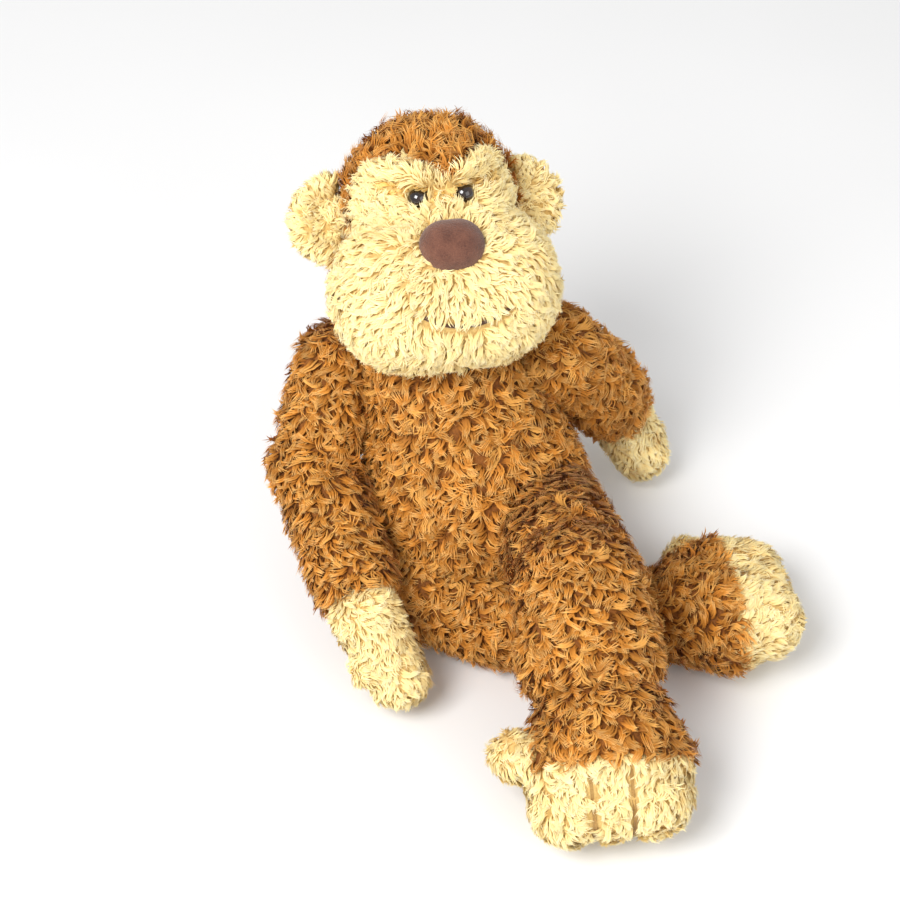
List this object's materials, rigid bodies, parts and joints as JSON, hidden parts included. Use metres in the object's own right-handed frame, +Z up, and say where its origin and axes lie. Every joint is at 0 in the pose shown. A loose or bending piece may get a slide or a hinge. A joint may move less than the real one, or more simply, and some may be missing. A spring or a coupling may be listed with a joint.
{
  "type": "stuffed monkey",
  "caption": "Long-limbed plush monkey sitting with crossed legs, with jointed neck, arms, legs and ears and a wide cream muzzle.",
  "frame": {"origin": "middle of the flat seat under the torso, on the floor", "axes": "-Y is the way the monkey faces, +X is its own left, +Z is up"},
  "size_m": [0.2535, 0.2803, 0.2266],
  "materials": {
    "brown_plush": "curly pile",
    "cream_plush": "silky pile",
    "stuffing": "loose fibre",
    "pellets": "matt",
    "nose": "velour",
    "eye": "polished",
    "washer": "satin",
    "stitch_thread": "thread",
    "drawstring": "thread"
  },
  "bodies": {
    "torso": {"torso_cover": "brown_plush", "torso_stuffing": "stuffing", "seat_bean_bag": "pellets"},
    "neck": {"neck_drawstring": "drawstring"},
    "head": {"head_cover": "brown_plush", "face_cover": "cream_plush", "head_stuffing": "stuffing", "mouth_stitch": "stitch_thread", "nose_cover": "nose", "nose_stuffing": "stuffing", "right_eye": "eye", "left_eye": "eye", "right_eye_washer": "washer", "left_eye_washer": "washer"},
    "right_ear": {"right_ear_cover": "cream_plush", "right_ear_stuffing": "stuffing"},
    "right_upper_arm": {"right_upper_arm_cover": "brown_plush", "right_upper_arm_stuffing": "stuffing"},
    "right_forearm": {"right_forearm_cover": "brown_plush", "right_forearm_stuffing": "stuffing"},
    "right_hand": {"right_hand_cover": "cream_plush", "right_hand_stuffing": "stuffing"},
    "right_thigh": {"right_thigh_cover": "brown_plush", "right_thigh_stuffing": "stuffing"},
    "right_shin": {"right_shin_cover": "brown_plush", "right_shin_stuffing": "stuffing"},
    "right_foot": {"right_big_toe_cover": "cream_plush", "right_big_toe_stuffing": "stuffing", "right_foot_cover": "brown_plush", "right_foot_stuffing": "stuffing", "right_toe_cap": "cream_plush", "right_toe_stitch_1": "stitch_thread", "right_toe_stitch_2": "stitch_thread"},
    "left_ear": {"left_ear_cover": "cream_plush", "left_ear_stuffing": "stuffing"},
    "left_upper_arm": {"left_upper_arm_cover": "brown_plush", "left_upper_arm_stuffing": "stuffing"},
    "left_forearm": {"left_forearm_cover": "brown_plush", "left_forearm_stuffing": "stuffing"},
    "left_hand": {"left_hand_cover": "cream_plush", "left_hand_stuffing": "stuffing"},
    "left_thigh": {"left_thigh_cover": "brown_plush", "left_thigh_stuffing": "stuffing"},
    "left_shin": {"left_shin_cover": "brown_plush", "left_shin_stuffing": "stuffing"},
    "left_foot": {"left_big_toe_cover": "cream_plush", "left_big_toe_stuffing": "stuffing", "left_foot_cover": "brown_plush", "left_foot_stuffing": "stuffing", "left_toe_cap": "cream_plush", "left_toe_stitch_1": "stitch_thread", "left_toe_stitch_2": "stitch_thread"}
  },
  "joints": [
    {"name": "neck_turn", "type": "hinge", "parent": "torso", "child": "neck", "pos_m": [-0.01956, 0.02627, 0.12644], "axis": [-0.2301, 0.309, 0.9228], "range_deg": [-25, 15]},
    {"name": "head_nod", "type": "hinge", "parent": "neck", "child": "head", "pos_m": [-0.01956, 0.02627, 0.12644], "axis": [0.9703, 0, 0.2419], "range_deg": [-12, 1]},
    {"name": "right_ear_flop", "type": "hinge", "parent": "head", "child": "right_ear", "pos_m": [-0.06409, 0.04749, 0.18448], "axis": [-0.1255, 0.7067, 0.6963], "range_deg": [-15, 15]},
    {"name": "left_ear_flop", "type": "hinge", "parent": "head", "child": "left_ear", "pos_m": [0.01616, 0.06415, 0.18203], "axis": [-0.1255, 0.7067, 0.6963], "range_deg": [-15, 15]},
    {"name": "right_shoulder", "type": "hinge", "parent": "torso", "child": "right_upper_arm", "pos_m": [-0.06647, 0.03043, 0.10793], "axis": [-0.9703, 0, -0.2419], "range_deg": [0, 20]},
    {"name": "right_elbow", "type": "hinge", "parent": "right_upper_arm", "child": "right_forearm", "pos_m": [-0.08, -0.006, 0.076], "axis": [-0.5198, -0.4457, 0.7288], "range_deg": [-6, 12]},
    {"name": "right_wrist", "type": "hinge", "parent": "right_forearm", "child": "right_hand", "pos_m": [-0.053, -0.08, 0.05], "axis": [0.9018, 0.1932, 0.3865], "range_deg": [-15, 15]},
    {"name": "left_shoulder", "type": "hinge", "parent": "torso", "child": "left_upper_arm", "pos_m": [0.03602, 0.02991, 0.11849], "axis": [-0.9703, 0, -0.2419], "range_deg": [-20, 0]},
    {"name": "left_elbow", "type": "hinge", "parent": "left_upper_arm", "child": "left_forearm", "pos_m": [0.06, 0.046, 0.08], "axis": [0.1003, 0.8942, 0.4364], "range_deg": [-20, 10]},
    {"name": "left_wrist", "type": "hinge", "parent": "left_forearm", "child": "left_hand", "pos_m": [0.074, 0.062, 0.044], "axis": [-0.8898, -0.1724, -0.4226], "range_deg": [-15, 15]},
    {"name": "right_hip", "type": "hinge", "parent": "torso", "child": "right_thigh", "pos_m": [-0.033, -0.036, 0.0255], "axis": [0, 0, 1], "range_deg": [-4, 1]},
    {"name": "right_knee", "type": "hinge", "parent": "right_thigh", "child": "right_shin", "pos_m": [0.034, -0.07, 0.0215], "axis": [0, 0, 1], "range_deg": [-8, 5]},
    {"name": "right_ankle", "type": "hinge", "parent": "right_shin", "child": "right_foot", "pos_m": [0.097, -0.058, 0.0255], "axis": [0, 0, 1], "range_deg": [-15, 10]},
    {"name": "left_hip", "type": "hinge", "parent": "torso", "child": "left_thigh", "pos_m": [0.034, -0.02, 0.056], "axis": [-1, 0, 0], "range_deg": [0, 12]},
    {"name": "left_knee", "type": "hinge", "parent": "left_thigh", "child": "left_shin", "pos_m": [0.045, -0.086, 0.08019], "axis": [-1, 0, 0], "range_deg": [0, 25]},
    {"name": "left_ankle", "type": "hinge", "parent": "left_shin", "child": "left_foot", "pos_m": [0.055, -0.142, 0.046], "axis": [-1, 0, 0], "range_deg": [-10, 20]}
  ]
}
